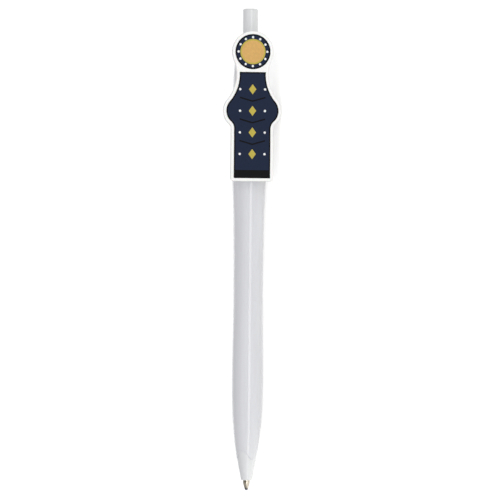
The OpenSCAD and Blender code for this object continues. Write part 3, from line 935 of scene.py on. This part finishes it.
def wet_fill(name, colour, shade, clear):
    """Ink or grease in the tube: wet, with soft clouds and a few tiny bubbles."""
    material, tree, shader = new_material(name)
    place = pen_millimetres(tree)
    cloud = grain(tree, place, scale=1.2, detail=4)
    bubbles = part(
        tree, "ShaderNodeTexVoronoi", {"Vector": place, "Scale": 2.4, "Randomness": 1.0}
    ).outputs["Distance"]
    tree.links.new(
        blend_colours(tree, spread(tree, cloud, 0, 1), colour, shade), shader.inputs["Base Color"]
    )
    shader.inputs["Transmission Weight"].default_value = clear
    tree.links.new(spread(tree, cloud, low=0.08, high=0.22), shader.inputs["Roughness"])
    relief(tree, shader, (spread(tree, bubbles, 0, 1, start=0.02, stop=0.12), 0.01))
    return material


def ground_carbide(name, colour, ink):
    """Ground carbide, dull grey and fine, with smears of ink dried on it."""
    material, tree, shader = new_material(name)
    place = pen_millimetres(tree)
    ragged = grain(tree, place, scale=4.0, detail=4, roughness=0.6)
    smears = spread(tree, ragged, low=0, high=0.8, start=0.5, stop=0.66)
    polish = grain(tree, place, scale=20.0)
    grit = grain(tree, place, scale=24.0, detail=3)
    tree.links.new(blend_colours(tree, smears, colour, ink), shader.inputs["Base Color"])
    tree.links.new(spread(tree, smears, 0.9, 0.35, start=0, stop=0.8), shader.inputs["Metallic"])
    tree.links.new(spread(tree, polish, low=0.14, high=0.26), shader.inputs["Roughness"])
    relief(tree, shader, (grit, 0.0006))
    return material


def mounting_tape(name, colour):
    """Double-sided tape: dull, cloudy, with a fibrous cut edge."""
    material, tree, shader = new_material(name)
    place = pen_millimetres(tree)
    fibres = grain(
        tree, pen_millimetres(tree, stretch=(1, 1, 0.2)), scale=6.0, detail=4, roughness=0.65
    )
    dullness = grain(tree, place, scale=2.0, detail=3)
    tree.links.new(mottled(tree, fibres, colour, dark=0.9, light=1.04), shader.inputs["Base Color"])
    tree.links.new(spread(tree, dullness, low=0.5, high=0.7), shader.inputs["Roughness"])
    relief(tree, shader, (fibres, 0.01))
    return material


INK_BLUE = (0.02, 0.04, 0.45)

barrel_white = moulded_plastic("barrel_white", (0.724, 0.728, 0.766))
nose_white = moulded_plastic("nose_white", (0.75, 0.758, 0.782), low=0.06, high=0.1)
cap_white = moulded_plastic("cap_white", (0.737, 0.741, 0.773), low=0.06, high=0.11)
button_white = moulded_plastic("button_white", (0.752, 0.762, 0.777))
plate_white = sheet_plastic("plate_white", (0.94, 0.94, 0.94))
tape_white = mounting_tape("tape_white", (0.90, 0.89, 0.84))
navy_ink = raised_ink("navy_ink", (0.0115, 0.0195, 0.048), (0.03, 0.04, 0.08))
tan_ink = raised_ink("tan_ink", (0.72, 0.435, 0.15), (0.82, 0.56, 0.27))
gold_ink = raised_ink("gold_ink", (0.55, 0.45, 0.085), (0.80, 0.70, 0.24))
black_ink = raised_ink("black_ink", (0.0015, 0.0015, 0.0025), (0.012, 0.012, 0.018))
rotor_white = plain_plastic("rotor_white", (0.85, 0.85, 0.85))
sleeve_grey = plain_plastic("sleeve_grey", (0.75, 0.76, 0.78))
spring_steel = drawn_wire("spring_steel_wire", (0.70, 0.71, 0.73))
tube_clear = clear_plastic("tube_clear", (0.88, 0.89, 0.90))
writing_ink = wet_fill("blue_writing_ink", INK_BLUE, (0.012, 0.02, 0.3), clear=0.1)
grease_amber = wet_fill("grease_amber", (0.80, 0.74, 0.50), (0.72, 0.64, 0.38), clear=0.5)
# The tip's second colour is its painted dark reflection
tip_brass = turned_metal("tip_brass_turned", (0.66, 0.60, 0.50), (0.09, 0.078, 0.055), (0.03, 0.03, 0.045))
ball_grey = ground_carbide("ball_grey", (0.50, 0.51, 0.53), INK_BLUE)


# The pieces that are made afresh

for maker, node, body, slot, material in (
    (make_barrel, "barrel", "pen_body", "barrel_plastic", barrel_white),
    (make_nose, "nose_cone", "pen_body", "nose_plastic", nose_white),
    (make_cap, "clip_cap", "pen_body", "cap_plastic", cap_white),
    (make_plate, "clip_plate", "pen_body", "plate_plastic", plate_white),
    (make_tip, "tip_cone", "refill", "tip_brass", tip_brass),
    (make_ball, "writing_ball", "ball", "ball_carbide", ball_grey),
    (make_spring, "return_spring", None, "spring_steel", spring_steel),
):
    piece = maker()
    smooth_faces(piece)
    lay_down(piece)
    dress(piece, node, body, material)

# The spring stands on the nose cone's spigot and is pushed by the tube's ears
spring = bpy.data.objects["spring_wire"]
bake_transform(spring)

# The pieces whose solids only get softer edges
for node, body, slot, material, edge in (
    ("push_button", "button", "button_plastic", button_white, SOFT_EDGE),
    ("cam_rotor", "rotor", "rotor_plastic", rotor_white, SOFT_EDGE),
    ("guide_sleeve", "pen_body", "sleeve_plastic", sleeve_grey, SOFT_EDGE),
    ("refill_tube", "refill", "tube_plastic", tube_clear, SOFT_EDGE),
    ("ink_column", "refill", "writing_ink", writing_ink, SOFT_EDGE),
    ("grease_follower", "refill", "follower_grease", grease_amber, SOFT_EDGE),
    ("adhesive_tape", "pen_body", "tape_acrylic", tape_white, TAPE_EDGE),
):
    dress(softened_copy(node, edge), node, body, material)

# The print stays as it is and gets its inks
for node, material in (
    ("print_navy", navy_ink),
    ("print_tan", tan_ink),
    ("print_gold", gold_ink),
    ("print_black", black_ink),
):
    for place in frame["nodes"][node].material_slots:
        place.link = "OBJECT"
        place.material = material


# Floor, world, lights and camera

WHITE = (1, 1, 1)
WARM_WHITE = (1, 1, 0.86)
FLOOR_SIZE = 8.0
FLOOR_TONES = ((0.85, 0.85, 0.85), (0.87, 0.87, 0.87))

# The table's light is strongest up to the first of these heights on the pen, and plain from the second
NOSE_GLOW_Z = 1.0
NOSE_GLOW_END_Z = 19.0


def seen_share(tree):
    """1 for rays that show a thing to the eye, in a gloss or through glass, and 0 for its light."""
    rays = part(tree, "ShaderNodeLightPath").outputs
    share = rays["Is Camera Ray"]
    for kind in ("Is Glossy Ray", "Is Transmission Ray"):
        most = part(tree, "ShaderNodeMath", {0: share, 1: rays[kind]}, operation="MAXIMUM")
        share = most.outputs["Value"]
    return share


def make_world(light):
    """A plain white world that lights at one strength and shows as white."""
    world = bpy.data.worlds.new("studio")
    bpy.context.scene.world = world
    world.use_nodes = True
    tree = world.node_tree
    sky = tree.nodes["Background"]
    sky.inputs["Color"].default_value = (*WHITE, 1)
    tree.links.new(spread(tree, seen_share(tree), light, 1, start=0, stop=1), sky.inputs["Strength"])


def make_floor(light, nose_light, seen):
    """A pale table that shows nearly white and keeps the pen's shadow.

    It has a faint warm light in it, which is stronger under the nose.
    """
    deselect()
    bpy.ops.mesh.primitive_plane_add(size=FLOOR_SIZE)
    floor = new_piece("floor")
    material, tree, shader = new_material("pale_floor")
    place = part(tree, "ShaderNodeTexCoord").outputs["Object"]
    cloud = spread(tree, grain(tree, place, scale=90.0, detail=3), 0, 1)
    tree.links.new(blend_colours(tree, cloud, *FLOOR_TONES), shader.inputs["Base Color"])
    shader.inputs["Roughness"].default_value = 0.9
    shader.inputs["Specular IOR Level"].default_value = 0.0
    share = seen_share(tree)
    tree.links.new(blend_colours(tree, share, WARM_WHITE, WHITE), shader.inputs["Emission Color"])
    along = part(tree, "ShaderNodeSeparateXYZ", {0: place}).outputs["X"]
    glow_x = on_axis(NOSE_GLOW_Z).x
    glow_end_x = on_axis(NOSE_GLOW_END_Z).x
    glow = spread(tree, along, nose_light, light, start=glow_x, stop=glow_end_x)
    tree.links.new(spread(tree, share, glow, seen, start=0, stop=1), shader.inputs["Emission Strength"])
    floor.data.materials.append(material)


def make_softbox(name, round_by, rise, distance, width, height, brightness):
    """A soft light at two angles and a distance from the pen's middle.

    A brightness of 1 is that of a white wall, and the angles are in degrees.
    """
    lamp = bpy.data.lights.new(name, "AREA")
    lamp.shape = "RECTANGLE"
    lamp.size = width
    lamp.size_y = height
    lamp.energy = brightness * math.pi * width * height
    box = bpy.data.objects.new(name, lamp)
    bpy.context.scene.collection.objects.link(box)
    turn = math.radians(round_by)
    lift = math.radians(rise)
    towards = Vector((math.sin(turn) * math.cos(lift), -math.cos(turn) * math.cos(lift), math.sin(lift)))
    place = on_axis(PEN_MIDDLE) + towards * distance
    box.matrix_world = Matrix.Translation(place) @ towards.to_track_quat("Z", "Y").to_matrix().to_4x4()


# The photograph is a square of so many dots, each so many millimetres wide at the pen
PICTURE = 500
DOT = 0.3
PEN_MIDDLE = 72.18
PEN_MIDDLE_DOT = (248.4, 249.8)
PEN_LEAN = math.radians(0.505)
CAMERA_RISE = 24.0
CAMERA_LENS = 200.0
CAMERA_SENSOR = 36.0
CAMERA_NEAR = 0.01


def make_camera():
    """The photograph's view: square to the plate but a little above it, with the pen's button up."""
    rise = math.radians(CAMERA_RISE)
    forward = Vector((0, math.cos(rise), -math.sin(rise)))
    along = (PEN_UP - forward * PEN_UP.dot(forward)).normalized()
    across = forward.cross(along)
    up = along * math.cos(PEN_LEAN) - across * math.sin(PEN_LEAN)
    right = along * math.sin(PEN_LEAN) + across * math.cos(PEN_LEAN)
    distance = DOT * PICTURE * CAMERA_LENS / CAMERA_SENSOR * MM
    aim = on_axis(PEN_MIDDLE)
    aim += right * (PICTURE / 2 - PEN_MIDDLE_DOT[0]) * DOT * MM
    aim -= up * (PICTURE / 2 - PEN_MIDDLE_DOT[1]) * DOT * MM
    lens = bpy.data.cameras.new("camera")
    lens.lens = CAMERA_LENS
    lens.sensor_width = CAMERA_SENSOR
    lens.clip_start = CAMERA_NEAR
    camera = bpy.data.objects.new("camera", lens)
    bpy.context.scene.collection.objects.link(camera)
    turn = Matrix((right, up, -forward)).transposed()
    camera.matrix_world = Matrix.Translation(aim - forward * distance) @ turn.to_4x4()
    bpy.context.scene.camera = camera


make_world(light=0.52)
make_floor(light=0.21, nose_light=0.52, seen=0.54)
make_softbox("front_strip", round_by=0, rise=9, distance=0.7, width=0.95, height=0.2, brightness=2.65)
make_softbox("front_box", round_by=0, rise=50, distance=1.2, width=1.4, height=1.0, brightness=0.42)
make_softbox("back_box", round_by=180, rise=10, distance=1.0, width=1.4, height=0.5, brightness=0.9)
make_camera()

bpy.context.scene.view_settings.view_transform = "Standard"
